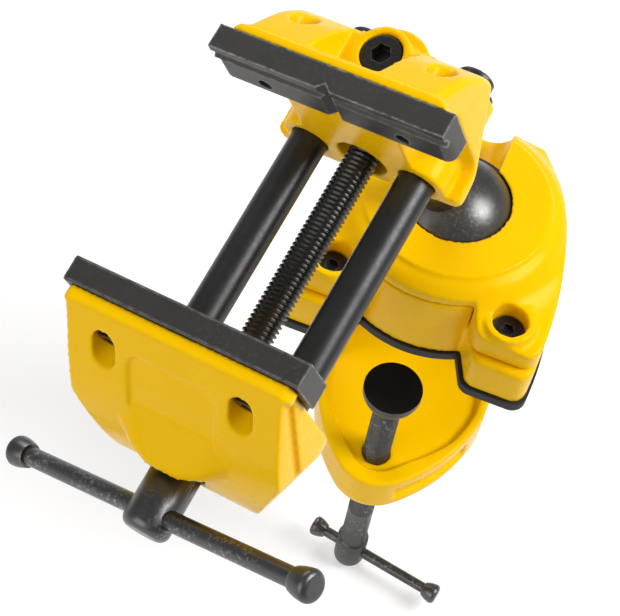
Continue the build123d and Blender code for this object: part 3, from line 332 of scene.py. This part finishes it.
LINER = steel("liner_plastic", (0.02, 0.02, 0.02), rough=0.5, wear=0, metal=0.0)
RUBBER = rubber()

LOOKS = {
    "casting": PAINT, "jaw_plate": PLATE, "rod": ROD, "pad": ROD, "ball": BALL,
    "screw_steel": THREAD, "bar": FORGED, "knob": FORGED, "black_screw": SCREW, "ring": SCREW,
    "nut": BRASS, "liner": LINER, "sole": RUBBER,
}


def dress(obj, *materials):
    """Gives an object these materials and no others."""
    obj.data.materials.clear()
    for material in materials:
        obj.data.materials.append(material)


def soften(node):
    """Rounds a node's sharp edges a little."""
    bevel = node.modifiers.new("edges", "BEVEL")
    bevel.width = EDGE_ROUND * MM
    bevel.segments = 2
    bevel.limit_method = "ANGLE"
    bevel.angle_limit = math.radians(EDGE_ANGLE)


for name, node in nodes.items():
    dress(node, LOOKS[slot_of[name]])
    if slot_of[name] != "casting":
        soften(node)

# The clamp's screw and bar have a look of their own, whatever their slots
for name in ("clamp_screw", "clamp_bar"):
    dress(nodes[name], CLAMP)


# Pieces made here

def linked(name, data):
    """A new object of a mesh or a light, in the scene."""
    obj = bpy.data.objects.new(name, data)
    bpy.context.scene.collection.objects.link(obj)
    return obj


def replace(node, name, mesh, *materials):
    """A new smooth piece with these materials that takes a node's place and body."""
    obj = linked(name, mesh)
    dress(obj, *materials)
    for face in mesh.polygons:
        face.use_smooth = True
    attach(obj, body_of[node])
    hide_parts(node)


def joined(node):
    """A copy of a CAD node's mesh with its split corners joined, as a bmesh."""
    shape = bmesh.new()
    shape.from_mesh(nodes[node].data)
    bmesh.ops.remove_doubles(shape, verts=shape.verts, dist=SAME_PLACE)
    return shape


def as_mesh(name, shape):
    """The mesh of a bmesh, which is freed."""
    mesh = bpy.data.meshes.new(name)
    shape.to_mesh(mesh)
    shape.free()
    return mesh


def cast(node, voxel, rounds, changes=()):
    """The node as a casting: its own shape, with every edge softened after any changes.

    A change is an operation and a bmesh, and the voxel is in mm."""
    rough = linked("rough", as_mesh("rough", joined(node)))
    helpers = [rough]
    for operation, shape in changes:
        helpers.append(linked("helper", as_mesh("helper", shape)))
        change = rough.modifiers.new("change", "BOOLEAN")
        change.object = helpers[-1]
        change.operation = operation
    remesh = rough.modifiers.new("remesh", "REMESH")
    remesh.mode = "VOXEL"
    remesh.voxel_size = voxel * MM
    smooth = rough.modifiers.new("smooth", "SMOOTH")
    smooth.factor = CAST_BLEND
    smooth.iterations = rounds
    fewer = rough.modifiers.new("fewer", "DECIMATE")
    fewer.ratio = CAST_FACES
    graph = bpy.context.evaluated_depsgraph_get()
    result = bpy.data.meshes.new_from_object(rough.evaluated_get(graph))
    for helper in helpers:
        bpy.data.objects.remove(helper)
    replace(node, node + "_cast", result, PAINT)


def bridge(shape, one, two):
    """Faces between two closed rings of corners."""
    for k in range(len(one)):
        after = (k + 1) % len(one)
        shape.faces.new((one[k], one[after], two[after], two[k]))


def along_flank(node, centre, level, angles, section, fade=0.0):
    """A closed strip that follows the node's outer wall at a height, seen from a centre.

    The section is a list of (depth inside the wall, height) in mm. Over the share fade at
    each end the strip runs out into the wall."""
    wall = joined(node)
    tree = BVHTree.FromBMesh(wall)
    shape = bmesh.new()
    rings = []
    start, end = angles
    for index in range(FLANK_STEPS + 1):
        angle = math.radians(start + (end - start) * index / FLANK_STEPS)
        way = Vector((math.cos(angle), math.sin(angle), 0))
        hit, normal = tree.ray_cast(Vector((*centre, level)) * MM + way * FAR_OUT, -way)[:2]
        inward = -Vector((normal.x, normal.y, 0)).normalized()
        full = 1
        if fade:
            from_end = min(index, FLANK_STEPS - index) / FLANK_STEPS
            full = min(1, (FADE_START + from_end) / (FADE_START + fade))
        ring = []
        for deep, height in section:
            corner = hit + inward * deep * full * MM
            ring.append(shape.verts.new((corner.x, corner.y, height * MM)))
        rings.append(ring)
    wall.free()
    for one, two in zip(rings, rings[1:]):
        bridge(shape, one, two)
    shape.faces.new(rings[0])
    shape.faces.new(rings[-1])
    bmesh.ops.recalc_face_normals(shape, faces=shape.faces)
    return shape


def hull(points):
    """A closed shape around points of the head's frame, in mm."""
    shape = bmesh.new()
    for point in points:
        shape.verts.new(HEAD @ (Vector(point) * MM))
    bmesh.ops.convex_hull(shape, input=shape.verts)
    return shape


tray_rim = along_flank("clamp_frame", ARM_CENTRE, RIM_LEVEL, RIM_ANGLES, RIM_SECTION, RIM_FADE)
arm_pocket = along_flank("clamp_frame", ARM_CENTRE, POCKET_LEVEL, POCKET_ANGLES, POCKET_SECTION)
brow = hull([(side * half, y, z) for half, y, z in BROW for side in (-1, 1)])
cast("clamp_frame", voxel=0.7, rounds=5, changes=(("UNION", tray_rim), ("DIFFERENCE", arm_pocket)))
cast("saddle", voxel=0.7, rounds=7)
cast("fixed_jaw", voxel=0.55, rounds=9)
cast("moving_jaw", voxel=0.5, rounds=11, changes=(("UNION", brow),))


def around(place, radius, step, steps, height):
    """A point about a local z axis after some of a full turn's steps, in metres."""
    angle = 2 * math.pi * step / steps
    return place @ Vector((radius * math.cos(angle), radius * math.sin(angle), height))


def thread(place, radius, depth, start, end):
    """A screw thread's surface about a local z axis, from start to end, in metres."""
    shape = bmesh.new()
    pitch = PITCH * MM
    turns = int((end - start) / pitch) + 1
    rings = []
    for step in range(turns * THREAD_STEPS + 1):
        along = start + pitch * step / THREAD_STEPS
        ring = []
        for share, drop in THREAD_PROFILE:
            height = min(max(along + pitch * (share - 0.5), start), end)
            corner = around(place, radius - drop * depth, step, THREAD_STEPS, height)
            ring.append(shape.verts.new(corner))
        rings.append(ring)
    for one, two in zip(rings, rings[1:]):
        for k in range(len(THREAD_PROFILE) - 1):
            shape.faces.new((one[k], two[k], two[k + 1], one[k + 1]))
    turn_on = rings[THREAD_STEPS:]
    for one, two, far_one, far_two in zip(rings, rings[1:], turn_on, turn_on[1:]):
        shape.faces.new((one[-1], two[-1], far_two[0], far_one[0]))
    bmesh.ops.remove_doubles(shape, verts=shape.verts, dist=SAME_PLACE)
    bmesh.ops.recalc_face_normals(shape, faces=shape.faces)
    return shape


def add_core(shape, place, radius, start, end):
    """Adds a plain closed cylinder about a local z axis, in metres."""
    rings = []
    for height in (start, end):
        corners = [around(place, radius, step, CORE_STEPS, height) for step in range(CORE_STEPS)]
        rings.append([shape.verts.new(corner) for corner in corners])
    bridge(shape, *rings)
    for ring in rings:
        shape.faces.new(ring)


def cut_away(shape, point, normal):
    """Removes what lies on the normal's side of a plane and closes the cut."""
    geometry = shape.verts[:] + shape.edges[:] + shape.faces[:]
    cut = bmesh.ops.bisect_plane(
        shape, geom=geometry, plane_co=point, plane_no=normal, clear_outer=True,
    )
    edges = [item for item in cut["geom_cut"] if isinstance(item, bmesh.types.BMEdge)]
    bmesh.ops.holes_fill(shape, edges=edges)


def add_thread(node, materials, place, depth, start, end, goes_on):
    """The node with its plain length from start to end replaced by a thread on a thinner core.

    Start, end and depth are in mm. The first material is the thread's, the second that of
    what lies before it. What lies after the thread is kept where goes_on is true."""
    start, end, depth, radius = start * MM, end * MM, depth * MM, SCREW_RADIUS * MM
    axis = (place.to_3x3() @ Vector((0, 0, 1))).normalized()
    screw = thread(place, radius, depth, start, end)
    add_core(screw, place, radius - depth * CORE_SHARE, start, end)
    cuts = [(start, axis)]
    if goes_on:
        cuts.insert(0, (end, -axis))
    for height, normal in cuts:
        rest = joined(node)
        cut_away(rest, place @ Vector((0, 0, height)), normal)
        screw.from_mesh(as_mesh("rest", rest))
    mesh = as_mesh(node + "_threaded", screw)
    replace(node, node + "_threaded", mesh, *materials)
    back = place.inverted()
    for face in mesh.polygons:
        face.material_index = int((back @ face.center).z < start)
    mesh.set_sharp_from_angle(angle=math.radians(THREAD_ANGLE))


add_thread(
    "spindle", (THREAD, FORGED), SPINDLE, SPINDLE_DEPTH, SPINDLE_START, SPINDLE_END, goes_on=False,
)
add_thread(
    "clamp_screw", (CLAMP, CLAMP), CLAMP_SCREW, CLAMP_DEPTH, CLAMP_START, CLAMP_END, goes_on=True,
)


# Floor and light

def floor_white():
    """A grey that also glows, but only to the camera and in reflections, so that it looks white."""
    look = Look("floor_white")
    look.set(Base_Color=FLOOR_COLOUR, Roughness=0.9, Specular_IOR_Level=0.0)
    ray = look.add("ShaderNodeLightPath")
    glow = look.add("ShaderNodeEmission")
    both = look.add("ShaderNodeAddShader")
    seen = look.math("MAXIMUM", ray.outputs["Is Camera Ray"], ray.outputs["Is Glossy Ray"])
    look.join(look.times(seen, FLOOR_GLOW), glow.inputs["Strength"])
    look.join(look.shader.outputs["BSDF"], both.inputs[0])
    look.join(glow.outputs["Emission"], both.inputs[1])
    look.join(both.outputs["Shader"], look.out.inputs["Surface"])
    return look.material


sheet = bpy.data.meshes.new("floor")
corners = [
    (x * FLOOR_HALF, y * FLOOR_HALF, FLOOR_HEIGHT * MM)
    for x, y in ((-1, -1), (1, -1), (1, 1), (-1, 1))
]
sheet.from_pydata(corners, [], [(0, 1, 2, 3)])
floor = linked("floor", sheet)
dress(floor, floor_white())

world = bpy.data.worlds.new("world")
bpy.context.scene.world = world
world.use_nodes = True
sky = world.node_tree.nodes["Background"]
sky.inputs["Color"].default_value = (1, 1, 1, 1)
sky.inputs["Strength"].default_value = WORLD_LIGHT


def lamp(name, place, size, power):
    """A soft lamp at a place, in metres, that shines on the vise's middle."""
    light = bpy.data.lights.new(name, "AREA")
    light.shape = "RECTANGLE"
    light.size, light.size_y = size
    light.energy = power
    obj = linked(name, light)
    obj.location = place
    obj.rotation_euler = (Vector(AIM) - Vector(place)).to_track_quat("-Z", "Y").to_euler()


lamp("key", place=(0.75, 0.1, 0.75), size=(0.5, 0.5), power=10)
lamp("fill", place=(-0.5, -0.9, 0.5), size=(0.9, 0.9), power=5.4)
lamp("back", place=(-0.5, 0.7, 0.7), size=(0.8, 0.4), power=5)

bpy.context.scene.view_settings.view_transform = "Standard"
